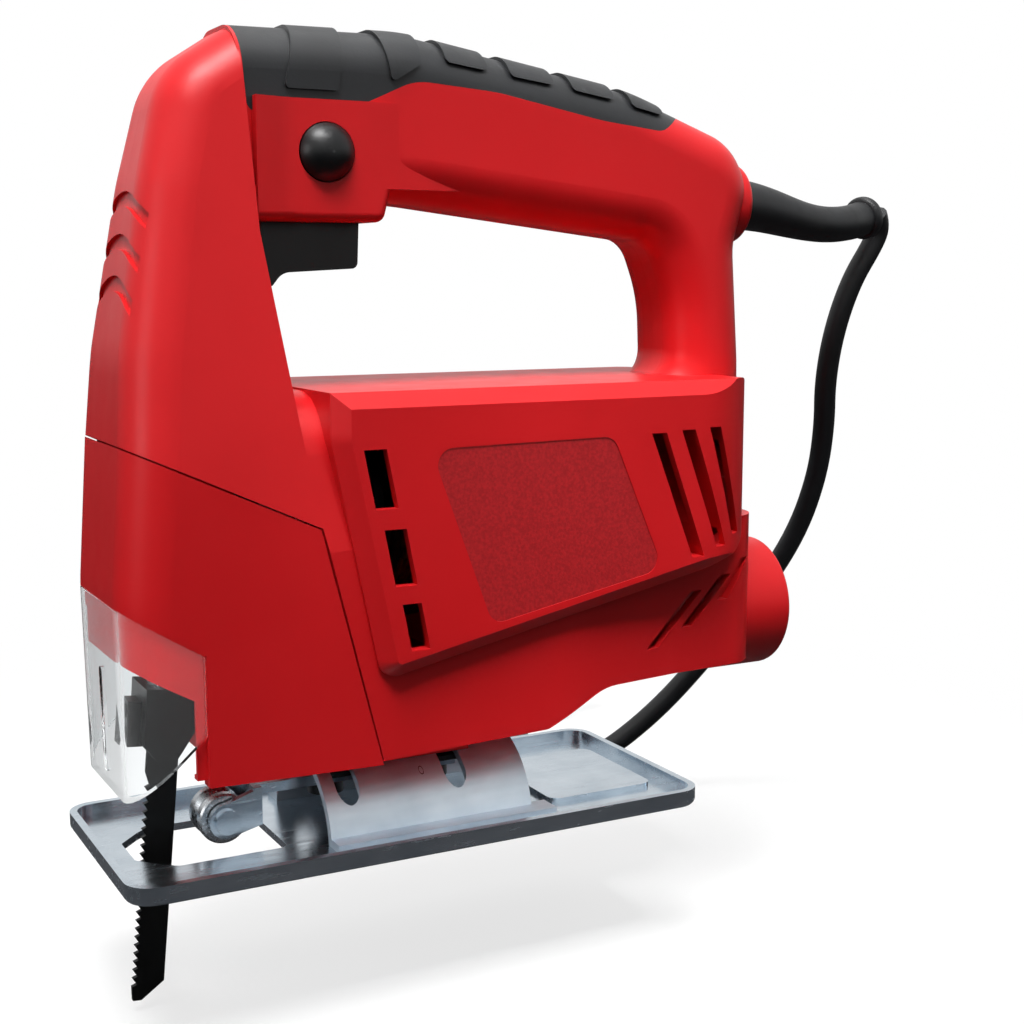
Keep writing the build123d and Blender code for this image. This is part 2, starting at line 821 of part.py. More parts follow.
with BuildPart() as base_nuts:
    for x in base_screw_x:
        with BuildSketch(along_z(x, 0, nut_low + rest_gap)):
            RegularPolygon(4.6, 6)
            Circle(base_screw_r + rest_gap, mode=Mode.SUBTRACT)
        extrude(amount=nut_high - nut_low)

# Fork that carries the guide roller behind the blade
fork_in, fork_out = 5.0, 6.6
fork_front = -37.6
with BuildPart() as roller_bracket:
    add(block(fork_front, shoe_rear, -4.5, 4.5, strap_low, strap_top))
    add(block(fork_front, fork_front + 2.0, -fork_out, fork_out, 5.5, strap_top))
    for side in (-1, 1):
        with BuildSketch(along_y(0, side * fork_in, 0, side)) as arm:
            with Locations((roller_x, -side * roller_z)):
                Circle(4.2)
            with BuildLine():
                Polyline(
                    (roller_x, -side * (roller_z + 4.2)),
                    (fork_front + 2.0, -side * strap_top),
                    (fork_front + 2.0, -side * 5.5),
                    (roller_x, -side * (roller_z - 4.2)),
                    close=True,
                )
            make_face()
        extrude(amount=fork_out - fork_in)
    add(bar(along_y(roller_x, -10, roller_z), 20, roller_pin_r + rest_gap), mode=Mode.SUBTRACT)
    for x in base_screw_x:
        add(bar(along_z(x, 0, 0), 20, base_screw_r + 0.2), mode=Mode.SUBTRACT)

with BuildPart() as roller_pin:
    add(bar(along_y(roller_x, -7.6, roller_z), 15.2, roller_pin_r))
    for y in (-7.6, fork_out + rest_gap):
        add(bar(along_y(roller_x, y, roller_z), 1.0 - rest_gap, 3.0))

roller_half = 4.4
with BuildPart() as guide_roller:
    with BuildSketch(Plane(origin=(roller_x, 0, roller_z), x_dir=(0, 1, 0), z_dir=(-1, 0, 0))):
        with BuildLine():
            Polyline(
                (-roller_half, roller_pin_r + run_gap),
                (-roller_half, 5.6),
                (-roller_half + 0.4, 6.0),
                (-2.2, 6.0),
                (-1.0, 4.8),
                (1.0, 4.8),
                (2.2, 6.0),
                (roller_half - 0.4, 6.0),
                (roller_half, 5.6),
                (roller_half, roller_pin_r + run_gap),
                close=True,
            )
        make_face()
    revolve(axis=Axis((roller_x, 0, roller_z), (0, 1, 0)))

# Blade and its clamp, drawn in the plane of the blade
blade_across = (cos(radians(rake)), 0, -sin(radians(rake)))
blade_plane = Plane(origin=(blade_foot, 0, 0), x_dir=blade_across, z_dir=(0, -1, 0))
tooth_pitch = 2.0
tooth_deep = 1.1
tooth_count = 25
edge = -blade_wide / 2
teeth = []
for k in range(tooth_count):
    v = blade_tip + 3.4 + tooth_pitch * k
    teeth += [(edge, v), (edge + tooth_deep, v + 0.5)]
shank = [(edge, 20.0), (edge, plunger_foot), (-edge, plunger_foot)]
blade_line = [(edge + 0.4, blade_tip), *teeth, *shank, (-edge, blade_tip + 4.3), (edge + 2.4, blade_tip)]
with BuildPart() as blade:
    with BuildSketch(blade_plane):
        with BuildLine():
            Polyline(*blade_line, close=True)
        make_face()
    extrude(amount=blade_thick / 2, both=True)

clamp_screw_spots = (29.6, 34.8)
clamp_screw_r = 1.6
clamp_line = ((-6.5, 41.0), (6.5, 41.0), (6.5, 33.0), (1.6, 24.5), (-3.2, 24.5), (-6.5, 28.0))
with BuildPart() as blade_clamp:
    with BuildSketch(blade_plane):
        with BuildLine():
            outline(clamp_line)
        make_face()
    extrude(amount=7.0, both=True)
    with BuildSketch(blade_plane):
        with Locations((-7.8, 32.2)):
            Rectangle(4.0, 10.4)
    extrude(amount=3.2, both=True)
    with BuildSketch(blade_plane):
        with Locations((0, 29.6)):
            Rectangle(blade_wide + 0.1, 15.0)
    extrude(amount=blade_thick / 2 + rest_gap, both=True, mode=Mode.SUBTRACT)
    add(bar(across_plunger(plunger_foot), 10, plunger_r + rest_gap), mode=Mode.SUBTRACT)
    for v in clamp_screw_spots:
        with BuildSketch(Plane(origin=blade_plane.from_local_coords((-12, v, 0)), z_dir=blade_plane.x_dir)):
            Circle(clamp_screw_r + rest_gap)
        extrude(amount=8.0, mode=Mode.SUBTRACT)

with BuildPart() as clamp_screws:
    for v in clamp_screw_spots:
        with BuildSketch(Plane(origin=blade_plane.from_local_coords((-10.2, v, 0)), z_dir=blade_plane.x_dir)):
            Circle(clamp_screw_r)
        extrude(amount=6.1)

# Plunger with the cross yoke that the crank drives
yoke_half = crank_roller_r + slot_spare
with BuildPart() as plunger:
    add(bar(across_plunger(plunger_foot + rest_gap), plunger_long, plunger_r))
    with BuildSketch(across_plunger(gear_z - yoke_half - 4)):
        RectangleRounded(36.0, 5.0, 1.0)
    extrude(amount=2 * yoke_half + 8)
    with BuildSketch(across_plunger(gear_z - yoke_half)):
        Rectangle(30.2, 12.0)
    extrude(amount=2 * yoke_half, mode=Mode.SUBTRACT)

with BuildPart() as lower_bush:
    add(bar(across_plunger(ceiling_z - 0.5), 9.0, bush_r, plunger_r + run_gap))

with BuildPart() as upper_bush:
    add(bar(across_plunger(web_low - 1.0), 8.0, bush_r, plunger_r + run_gap))


# Tooth outline, plain straight flanks with play
def tooth_ring(teeth_n, root, tip, root_wide, tip_wide, first):
    points = []
    for k in range(teeth_n):
        mid = first + 2 * pi * k / teeth_n
        for r, w, s in ((root, root_wide, -1), (tip, tip_wide, -1), (tip, tip_wide, 1), (root, root_wide, 1)):
            a = mid + s * w / (2 * r)
            points.append((r * cos(a), r * sin(a)))
    return points


pinion_pitch_r = tooth_module * pinion_teeth / 2
gear_pitch_r = tooth_module * gear_teeth / 2
first_tooth = -pi / 2 + pi / gear_teeth
gear_ring = tooth_ring(gear_teeth, gear_pitch_r - 1.25, gear_pitch_r + 0.75, 1.55, 0.7, first_tooth)
pinion_ring = tooth_ring(pinion_teeth, pinion_pitch_r - 0.95, pinion_pitch_r + 0.7, 1.5, 0.6, pi / 2)
axle_r = 4.0
with BuildPart() as drive_gear:
    with BuildSketch(along_x(gear_front, gear_z)):
        with BuildLine():
            Polyline(*gear_ring, close=True)
        make_face()
        Circle(axle_r + run_gap, mode=Mode.SUBTRACT)
        with PolarLocations(11.5, 3, start_angle=60, angular_range=360):
            Circle(3.0, mode=Mode.SUBTRACT)
    extrude(amount=gear_thick)
    with BuildSketch(along_x(gear_front + 1, gear_z, crank_r)):
        Circle(crank_pin_r)
    extrude(amount=-12.6)

with BuildPart() as crank_roller:
    with BuildSketch(along_x(-53.6, gear_z, crank_r)):
        Circle(crank_roller_r)
        Circle(crank_pin_r + rest_gap, mode=Mode.SUBTRACT)
    extrude(amount=7.2)

with BuildPart() as gear_axle:
    add(bar(along_x(gear_front - 1.2, gear_z), plate_rear + 1.0 - gear_front + 1.2, axle_r))
    add(bar(along_x(gear_front - 1.2, gear_z), 1.1, 5.4))

plate_line = ((-plate_half, 62, 4), (plate_half, 62, 4), (plate_half, 114, 4), (-plate_half, 114, 4))
front_bearing_x = plate_rear + 0.5
with BuildPart() as gear_plate:
    with BuildSketch(Plane.YZ.offset(plate_front)):
        with BuildLine():
            outline(plate_line)
        make_face()
    extrude(amount=plate_rear - plate_front)
    add(bar(along_x(plate_rear - 1, motor_z), bearing_wide + 1.6, bearing_r + 3.5))
    add(bar(along_x(plate_rear - 1, gear_z), 2.0, 8.0))
    add(bar(along_x(plate_front - 1, motor_z), 12, 6.0), mode=Mode.SUBTRACT)
    add(bar(along_x(front_bearing_x - rest_gap, motor_z), 12, bearing_r + rest_gap), mode=Mode.SUBTRACT)
    add(bar(along_x(plate_front - 1, gear_z), 12, axle_r + rest_gap), mode=Mode.SUBTRACT)

with BuildPart() as front_bearing:
    add(bar(along_x(front_bearing_x, motor_z), bearing_wide, bearing_r, shaft_r + run_gap))

with BuildPart() as rear_bearing:
    add(bar(along_x(rear_bearing_x, motor_z), bearing_wide, bearing_r, shaft_r + run_gap))

# Armature, everything that spins with the motor shaft
with BuildPart() as armature_shaft:
    with BuildSketch(along_x(gear_front - 0.6, motor_z)):
        with BuildLine():
            Polyline(*pinion_ring, close=True)
        make_face()
    extrude(amount=gear_thick + 0.8)
    add(bar(along_x(gear_front - 0.6, motor_z), 122.6, shaft_r))

with BuildPart() as armature_core:
    with BuildSketch(along_x(2.0, motor_z)):
        Circle(armature_r)
        Circle(shaft_r + rest_gap, mode=Mode.SUBTRACT)
        with PolarLocations(armature_r - 2.2, 12):
            Rectangle(5.0, 2.6, mode=Mode.SUBTRACT)
    extrude(amount=38.0)

with BuildPart() as armature_winding:
    for x in (-4.6, 40.02):
        add(bar(along_x(x, motor_z), 6.6, armature_r - 1.5, 5.0))
    rims = armature_winding.edges().filter_by(GeomType.CIRCLE)
    fillet([e for e in rims if e.radius > 12], 1.8)

with BuildPart() as commutator:
    with BuildSketch(along_x(49.0, motor_z)):
        Circle(commutator_r)
        Circle(shaft_r + rest_gap, mode=Mode.SUBTRACT)
        with PolarLocations(commutator_r, 12):
            Rectangle(1.4, 0.6, mode=Mode.SUBTRACT)
    extrude(amount=15.0)

fan_r = 22.0
with BuildPart() as fan:
    add(bar(along_x(-20.0, motor_z), 10.0, 7.0))
    add(bar(along_x(-12.0, motor_z), 2.0, fan_r))
    with BuildSketch(along_x(-20.0, motor_z)):
        with PolarLocations((fan_r + 5.0) / 2, 9):
            Rectangle(fan_r - 5.0, 1.2, rotation=18)
    extrude(amount=9.0)
    add(bar(along_x(-25.0, motor_z), 20.0, shaft_r + rest_gap), mode=Mode.SUBTRACT)

# Field, brushes and their holders
with BuildPart() as field_core:
    add(bar(along_x(0.0, motor_z), 38.0, field_r, armature_r + 0.6))
    for side in (-1, 1):
        with Locations((19.0, side * 19.6, motor_z)):
            Box(50, 6.4, 19, mode=Mode.SUBTRACT)

with BuildPart() as field_coils:
    for x in (-5.8, 38.02):
        add(bar(along_x(x, motor_z), 5.78, 22.2, armature_r + 0.8))
    for side in (-1, 1):
        with Locations((19.0, side * 19.9, motor_z)):
            Box(49.6, 4.4, 18)

holder_in = commutator_r + 0.8
with BuildPart() as brush_holders:
    for side in (-1, 1):
        with BuildSketch(along_y(brush_x, side * holder_in, motor_z, side)):
            Rectangle(10, 8)
            Rectangle(6.4, 5.4, mode=Mode.SUBTRACT)
        extrude(amount=26.0 - holder_in)

with BuildPart() as carbon_brushes:
    for side in (-1, 1):
        with BuildSketch(along_y(brush_x, side * (commutator_r + run_gap), motor_z, side)):
            Rectangle(6.3, 5.3)
        extrude(amount=9.0)


with BuildPart() as switch_body:
    add(block(switch_front, switch_rear, -switch_half, switch_half, switch_low, switch_high))
    chamfer(switch_body.edges().filter_by(Axis.Z), 0.8)
    add(block(-12.0, -8.0, -2.5, 2.5, switch_high - 0.5, switch_high + 4.0))

trigger_top = box_bottom + 4.4
trigger_line = (
    (trigger_front, trigger_top),
    (trigger_front, 133.5, 3.0),
    (-31.6, 130.2, 1.0),
    (-28.4, 134.2, 4.0),
    (trigger_rear - 0.6, 135.2, 1.5),
    (trigger_rear, trigger_top),
)
flange_low = box_bottom + wall + rest_gap
flange_half = slot_half + 0.5
with BuildPart() as trigger:
    add(side_prism(trigger_line, trigger_half, -trigger_half))
    add(block(trigger_front - 1.2, trigger_rear + 0.3, -flange_half, flange_half, flange_low, trigger_top))

button_back = -11.6
dome_high = 3.6
dome_edge = -box_half - 0.4
dome_r = (button_r**2 + dome_high**2) / (2 * dome_high)
dome_half = 0.5 * atan2(button_r, dome_r - dome_high)
dome_mid = (dome_r * sin(dome_half), dome_edge + dome_r - dome_high - dome_r * cos(dome_half))
with BuildPart() as lock_button:
    with BuildSketch(Plane(origin=(button_x, 0, button_z), x_dir=(1, 0, 0), z_dir=(0, 0, 1))):
        with BuildLine():
            top = (0, dome_edge - dome_high)
            foot = ((button_r + button_lip, button_back), (button_r + button_lip, -12.85), (button_r, -12.85))
            Polyline(top, (0, button_back), *foot, (button_r, dome_edge))
            ThreePointArc((button_r, dome_edge), dome_mid, top)
        make_face()
    revolve(axis=Axis((button_x, 0, button_z), (0, 1, 0)))


# Coil spring of plain wire standing on a plane
def spring(plane, height, radius, turns, wire):
    with BuildPart() as p:
        rise = height - 2 * wire
        with BuildLine() as path:
            foot = plane.offset(wire).origin
            Helix(rise / turns, rise, radius, center=foot, direction=plane.z_dir)
        with BuildSketch(Plane(origin=path.line @ 0, z_dir=path.line % 0)):
            RegularPolygon(wire, 6)
        sweep(path=path.line, is_frenet=True)
    return p.part


brush_coils = [spring(along_y(brush_x, side * 19.2, motor_z, side), 6.4, 1.8, 5, 0.35) for side in (-1, 1)]
with BuildPart() as brush_springs:
    for coil in brush_coils:
        add(coil)

trigger_coil = spring(along_z(-20.0, 0, trigger_top + 0.1), switch_low - trigger_top - 0.2, 3.0, 5, 0.45)
with BuildPart() as trigger_spring:
    add(trigger_coil)

lock_long = -switch_half - button_back - 0.2
lock_coil = spring(along_y(button_x, button_back + 0.1, button_z), lock_long, 4.0, 3, 0.4)
with BuildPart() as lock_spring:
    add(lock_coil)

# Strain relief and cord run on one line of points
cord_points = (
    (88.0, 0.0, collar_z),
    (106.0, 0.0, collar_z - 0.1),
    (124.0, 0.0, 148.2),
    (138.0, 1.5, 147.2),
    (153.0, 6.5, 150.2),
    (157.5, 8.2, 151.0),
    (160.3, 9.6, 147.6),
    (159.0, 10.9, 142.4),
    (153.2, 13.0, 132.0),
    (149.9, 16.0, 117.5),
    (150.6, 20.2, 102.5),
    (154.8, 25.0, 89.0),
    (157.5, 31.0, 73.0),
    (157.5, 40.0, 54.0),
    (152.0, 51.0, 34.0),
    (142.0, 63.0, 13.0),
    (129.0, 74.0, -8.0),
    (113.0, 83.0, -23.5),
    (95.0, 88.7, -31.2),
    (79.0, coil_y - coil_r, coil_z),
    (coil_x + cord_d, coil_y - coil_r, coil_z),
)


# Rounding at each inner point, a fixed share of the shorter run beside it
def bend_radii(points, share=0.46):
    radii = []
    for a, b, c in zip(points, points[1:], points[2:]):
        into, out = Vector(*b) - Vector(*a), Vector(*c) - Vector(*b)
        turn = radians(into.get_angle(out))
        radii.append(share * min(into.length, out.length) / tan(turn / 2))
    return radii


# Tube of even radius along a row of points
def cord_tube(points, radius):
    with BuildPart() as p:
        with BuildLine() as path:
            FilletPolyline(*points, radius=bend_radii(points))
        with BuildSketch(Plane(origin=path.line @ 0, z_dir=path.line % 0)):
            Circle(radius)
        sweep(path=path.line)
    return p.part


lead_tube = cord_tube(cord_points, cord_d / 2)
relief_hollow = cord_tube(cord_points[:6], relief_bore)
with BuildPart() as cord_lead:
    add(lead_tube)

with BuildLine() as relief_line:
    FilletPolyline(*cord_points[:6], radius=bend_radii(cord_points[:6]))
relief_wire = relief_line.wires()[0]
relief_length = relief_wire.length
relief_end = 63.0
relief_marks = (
    (6.0, 6.8),
    (13.0, 6.75),
    (17.0, 6.5),
    (26.0, 5.9),
    (36.0, 5.2),
    (46.0, 4.9),
    (56.0, 4.85),
    (relief_end, 4.85),
)
lip_at = relief_end / relief_length
lip_plane = Plane(origin=relief_wire @ lip_at, z_dir=relief_wire % lip_at)
with BuildPart() as relief_lip:
    with BuildSketch(lip_plane.offset(-0.5)):
        Circle(6.0)
    extrude(amount=3.2)
    fillet(relief_lip.edges().filter_by(GeomType.CIRCLE), 1.3)
with BuildPart() as strain_relief:
    for run, r in relief_marks:
        t = run / relief_length
        with BuildSketch(Plane(origin=relief_wire @ t, z_dir=relief_wire % t)):
            Circle(r)
    loft()
    add(relief_lip.part)
    add(bar(along_x(92.4, collar_z), 2.4, 8.4))
    add(relief_hollow, mode=Mode.SUBTRACT)

# Wound cord, one tube of half turns in two layers with a climb at the inside
centre = coil_y
radius = coil_r
level = coil_z
side = -1
with BuildLine() as coil_line:
    Line((coil_x + cord_d, coil_y - coil_r, coil_z), (coil_x, coil_y - coil_r, coil_z))
    for step in range(2 * half_turns + 1):
        a = (coil_x, centre + side * radius, level)
        climb = step == half_turns
        b = (coil_x, centre - side * radius, level + (coil_layer if climb else 0))
        out = 1 if side > 0 else -1
        mid = (coil_x + out * radius, centre, level + (coil_layer / 2 if climb else 0))
        ThreePointArc(a, mid, b)
        if climb:
            level = level + coil_layer
        grow = -coil_pitch / 2 if step < half_turns else coil_pitch / 2
        centre = centre + side * grow
        radius = radius + grow
        side = -side
    tail_start = (coil_x, centre + side * radius, level)
    Line(tail_start, (coil_x + cord_d, tail_start[1], level))
coil_wire = coil_line.wires()[0]


# Least gap of a tube to itself, measured on points that are further apart along it than a half turn
def least_gap(wire, wide, apart):
    count = round(wire.length / (wide / 2))
    spots = [wire @ (k / count) for k in range(count + 1)]
    skip = round(apart / (wide / 2))
    pairs = [(a, b) for i, a in enumerate(spots) for b in spots[i + skip :]]
    return min((a - b).length for a, b in pairs) - wide


print("least gap of the wound cord to itself", round(least_gap(coil_wire, cord_d, 2 * coil_r), 2))
with BuildPart() as cord_coil:
    with BuildSketch(Plane(origin=coil_wire @ 0, z_dir=coil_wire % 0)):
        RegularPolygon(cord_d / 2, 8)
    sweep(path=coil_wire)

plug_x = 104.0
plug_y = tail_start[1] - 2.4
plug_z = -26.0
tail_points = (
    (coil_x + cord_d + 0.2, tail_start[1], coil_z + coil_layer),
    (78.0, tail_start[1], coil_z + coil_layer),
    (93.0, plug_y, plug_z),
    (113.0, plug_y, plug_z),
)
tail_tube = cord_tube(tail_points, cord_d / 2)
with BuildPart() as cord_tail:
    add(tail_tube)

# Strap that holds the wound cord together
tie_thick = 1.2
tie_wide = 7.0
tie_y = coil_y
tie_in = coil_x + coil_r - coil_pitch / 2 - 2 * coil_pitch - cord_d / 2 - 1.4
tie_out = coil_x + coil_r - coil_pitch / 2 + cord_d / 2 + 0.3
tie_low = coil_z - cord_d / 2 - 0.05
tie_high = coil_z + coil_layer + cord_d / 2 + 0.05
with BuildPart() as cord_tie:
    with BuildSketch(Plane.XZ.offset(-tie_y)):
        with BuildLine():
            outline(
                (
                    (tie_in - tie_thick, tie_low - tie_thick, 3.0),
                    (tie_out + tie_thick, tie_low - tie_thick, 3.0),
                    (tie_out + tie_thick, tie_high + tie_thick, 3.0),
                    (tie_in - tie_thick, tie_high + tie_thick, 3.0),
                )
            )
        make_face()
        with BuildLine():
            outline(
                (
                    (tie_in, tie_low, 1.8),
                    (tie_out, tie_low, 1.8),
                    (tie_out, tie_high, 1.8),
                    (tie_in, tie_high, 1.8),
                )
            )
        make_face(mode=Mode.SUBTRACT)
    extrude(amount=tie_wide / 2, both=True)
    buckle = tie_high + tie_thick
    add(block(tie_in + 6, tie_in + 13, tie_y - 4.5, tie_y + 4.5, buckle - 0.4, buckle + 2.4))

# Two pin plug lying on the floor
with BuildPart() as plug:
    with BuildSketch(along_x(plug_x, plug_z, plug_y)):
        Circle(5.2)
    with BuildSketch(along_x(plug_x + 16, plug_z, plug_y)):
        Circle(6.4)
    loft()
    with BuildSketch(along_x(plug_x + 16, plug_z, plug_y)):
        RectangleRounded(15, 13, 5)
    with BuildSketch(along_x(plug_x + 28, plug_z, plug_y)):
        RectangleRounded(34, 19, 6)
    with BuildSketch(along_x(plug_x + 44, plug_z, plug_y)):
        RectangleRounded(36, 21, 6)
    loft(ruled=True)
    for dy in (-9.5, 9.5):
        with BuildSketch(along_x(plug_x + 43, plug_z, plug_y + dy)):
            Circle(2.4)
        extrude(amount=20.0)
    fillet(plug.faces().sort_by(Axis.X)[-2:].edges(), 1.0)
    with BuildSketch(along_x(plug_x - 1, plug_z, plug_y)):
        Circle(cord_d / 2 + rest_gap)
    extrude(amount=10.5, mode=Mode.SUBTRACT)

# Label and save every piece
left_housing.part.label = "left_housing"
export_step(left_housing.part, "parts/left_housing.step")
right_housing.part.label = "right_housing"
export_step(right_housing.part, "parts/right_housing.step")
housing_screws.part.label = "housing_screws"
export_step(housing_screws.part, "parts/housing_screws.step")
left_grip.part.label = "left_grip"
export_step(left_grip.part, "parts/left_grip.step")
right_grip.part.label = "right_grip"
export_step(right_grip.part, "parts/right_grip.step")
label_plate.part.label = "label_plate"
export_step(label_plate.part, "parts/label_plate.step")
nose_cover.part.label = "nose_cover"
export_step(nose_cover.part, "parts/nose_cover.step")
blade_guard.part.label = "blade_guard"
export_step(blade_guard.part, "parts/blade_guard.step")
base_plate.part.label = "base_plate"
export_step(base_plate.part, "parts/base_plate.step")
base_saddle.part.label = "base_saddle"
export_step(base_saddle.part, "parts/base_saddle.step")
clamp_shoe.part.label = "clamp_shoe"
export_step(clamp_shoe.part, "parts/clamp_shoe.step")
base_screws.part.label = "base_screws"
export_step(base_screws.part, "parts/base_screws.step")
base_nuts.part.label = "base_nuts"
export_step(base_nuts.part, "parts/base_nuts.step")
roller_bracket.part.label = "roller_bracket"
export_step(roller_bracket.part, "parts/roller_bracket.step")
roller_pin.part.label = "roller_pin"
export_step(roller_pin.part, "parts/roller_pin.step")
guide_roller.part.label = "guide_roller"
export_step(guide_roller.part, "parts/guide_roller.step")
blade.part.label = "blade"
export_step(blade.part, "parts/blade.step")
blade_clamp.part.label = "blade_clamp"
export_step(blade_clamp.part, "parts/blade_clamp.step")
clamp_screws.part.label = "clamp_screws"
export_step(clamp_screws.part, "parts/clamp_screws.step")
plunger.part.label = "plunger"
export_step(plunger.part, "parts/plunger.step")
lower_bush.part.label = "lower_bush"
export_step(lower_bush.part, "parts/lower_bush.step")
upper_bush.part.label = "upper_bush"
export_step(upper_bush.part, "parts/upper_bush.step")
drive_gear.part.label = "drive_gear"
export_step(drive_gear.part, "parts/drive_gear.step")
crank_roller.part.label = "crank_roller"
export_step(crank_roller.part, "parts/crank_roller.step")
gear_axle.part.label = "gear_axle"
export_step(gear_axle.part, "parts/gear_axle.step")
gear_plate.part.label = "gear_plate"
export_step(gear_plate.part, "parts/gear_plate.step")
front_bearing.part.label = "front_bearing"
export_step(front_bearing.part, "parts/front_bearing.step")
rear_bearing.part.label = "rear_bearing"
export_step(rear_bearing.part, "parts/rear_bearing.step")
armature_shaft.part.label = "armature_shaft"
export_step(armature_shaft.part, "parts/armature_shaft.step")
armature_core.part.label = "armature_core"
export_step(armature_core.part, "parts/armature_core.step")
armature_winding.part.label = "armature_winding"
export_step(armature_winding.part, "parts/armature_winding.step")
commutator.part.label = "commutator"
export_step(commutator.part, "parts/commutator.step")
fan.part.label = "fan"
export_step(fan.part, "parts/fan.step")
field_core.part.label = "field_core"
export_step(field_core.part, "parts/field_core.step")
field_coils.part.label = "field_coils"
export_step(field_coils.part, "parts/field_coils.step")
brush_holders.part.label = "brush_holders"
export_step(brush_holders.part, "parts/brush_holders.step")
carbon_brushes.part.label = "carbon_brushes"
export_step(carbon_brushes.part, "parts/carbon_brushes.step")
brush_springs.part.label = "brush_springs"
export_step(brush_springs.part, "parts/brush_springs.step")
switch_body.part.label = "switch_body"
export_step(switch_body.part, "parts/switch_body.step")
trigger.part.label = "trigger"
export_step(trigger.part, "parts/trigger.step")
trigger_spring.part.label = "trigger_spring"
export_step(trigger_spring.part, "parts/trigger_spring.step")
lock_button.part.label = "lock_button"
export_step(lock_button.part, "parts/lock_button.step")
lock_spring.part.label = "lock_spring"
export_step(lock_spring.part, "parts/lock_spring.step")
strain_relief.part.label = "strain_relief"
export_step(strain_relief.part, "parts/strain_relief.step")
cord_lead.part.label = "cord_lead"
export_step(cord_lead.part, "parts/cord_lead.step")
cord_coil.part.label = "cord_coil"
export_step(cord_coil.part, "parts/cord_coil.step")
cord_tail.part.label = "cord_tail"
export_step(cord_tail.part, "parts/cord_tail.step")
cord_tie.part.label = "cord_tie"
export_step(cord_tie.part, "parts/cord_tie.step")
plug.part.label = "plug"
export_step(plug.part, "parts/plug.step")
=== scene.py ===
"""Looks of a corded jigsaw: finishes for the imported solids, a few finer pieces, the cord and the stage."""

import math

import bmesh
import bpy
import numpy as np
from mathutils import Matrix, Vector


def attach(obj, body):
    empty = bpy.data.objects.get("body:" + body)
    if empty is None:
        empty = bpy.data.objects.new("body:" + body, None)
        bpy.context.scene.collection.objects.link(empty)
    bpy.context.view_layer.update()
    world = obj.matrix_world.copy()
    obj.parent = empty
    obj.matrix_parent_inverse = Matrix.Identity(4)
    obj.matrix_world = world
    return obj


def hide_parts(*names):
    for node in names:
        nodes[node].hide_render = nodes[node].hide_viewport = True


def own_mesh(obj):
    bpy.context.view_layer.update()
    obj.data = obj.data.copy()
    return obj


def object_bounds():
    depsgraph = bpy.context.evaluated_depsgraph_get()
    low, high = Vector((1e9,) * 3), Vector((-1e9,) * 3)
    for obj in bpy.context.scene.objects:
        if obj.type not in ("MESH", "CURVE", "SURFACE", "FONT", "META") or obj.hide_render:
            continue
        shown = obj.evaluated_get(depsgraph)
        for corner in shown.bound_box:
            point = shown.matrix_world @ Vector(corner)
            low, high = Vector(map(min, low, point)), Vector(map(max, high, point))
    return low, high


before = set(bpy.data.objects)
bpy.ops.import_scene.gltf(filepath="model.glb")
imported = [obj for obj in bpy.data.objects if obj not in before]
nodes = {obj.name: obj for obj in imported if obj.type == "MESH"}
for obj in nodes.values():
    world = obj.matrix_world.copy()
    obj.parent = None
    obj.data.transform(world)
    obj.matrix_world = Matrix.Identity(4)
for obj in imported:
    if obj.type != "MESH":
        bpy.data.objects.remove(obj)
solids_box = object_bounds()

MM = 0.001

# camera, measured from the photograph's perspective, in pixels, millimetres and degrees
IMAGE_SIDE = 1024
FOCAL_PIXELS = 1580.0
SENSOR = 36.0
CAMERA_PLACE = (-152.306, -350.119, 133.518)
CAMERA_TURN = -28.0907
CAMERA_TILT = 8.5025
CLIP = (0.01, 20.0)

# lamps in metres: place, target, side, power in watts, spread of the beam in degrees
LAMPS = {
    "key": ((-0.18, -0.23, 0.84), (-0.02, 0.0, 0.26), 0.4, 0.8, 40.0),
    "front": ((-0.9, -0.25, 0.3), (-0.05, 0.0, 0.1), 0.4, 1.35, 180.0),
    "card": ((0.45, -0.8, 0.15), (0.0, 0.0, 0.05), 0.5, 0.12, 180.0),
    "top": ((0.15, 0.15, 0.9), (0.02, 0.0, 0.15), 0.5, 1.15, 180.0),
    "side": ((0.06, -0.42, 0.78), (0.05, -0.03, 0.1), 0.12, 0.03, 14.0),
}

# sky as a light and in mirrors: the ray's height where it starts and ends to brighten, and its level above
DIFFUSE_SKY = (0.08, 0.95, 0.6)
MIRROR_SKY = (-0.12, 0.2, 0.85)
SKY_BELOW = 0.02

# floor in metres: half side, drop below the solids, and the ring where the shadow fades out
FLOOR_HALF = 12.0
FLOOR_DROP = 0.0003
FADE_NEAR = 0.1
FADE_FAR = 0.4
# share of pure white inside that ring, and the table's shade, which rays off the object meet
WHITE_NEAR = 0.72
TABLE_SHADE = "#4A4A4C"

# zero mark on the bevel saddle, in millimetres and degrees above the level
SADDLE_RADIUS = 20.0
ZERO_X = 2.4
ZERO_ANGLE = 48.2
ZERO_SUNK = 0.385
ZERO_HALF_WIDE = 0.55
ZERO_HALF_HIGH = 1.1
ZERO_WIRE = 0.4

# lip behind the top of the guard, in millimetres: outer face, wall, and the chamber's slanting edge
LIP_FRONT = -69.15
LIP_REAR = -57.5
LIP_HALF_WIDE = 22.6
LIP_TAPER = 0.0588
LIP_ROUND = 9.3
LIP_THICK = 1.2
LIP_TOP = 58.2
CHAMBER_EDGE = ((-90.0, -56.0), (61.1, 42.0))

# guard: reach in metres within which loose corners are joined, and the angle that keeps an edge sharp
JOIN_REACH = 1e-6
EDGE_ANGLE = 25.0

# return springs in millimetres: joint, moving end, axis, length, radius, turns, wire, travel
SPRINGS = {
    "trigger": ("trigger_pull", (-20.0, 0.0, 150.0), (0.0, 0.0, 1.0), 7.9, 3.0, 5, 0.45, 5.0),
    "lock": ("lock_button_press", (-20.0, -11.5, 160.6), (0.0, 1.0, 0.0), 4.9, 4.0, 3, 0.4, 2.5),
}

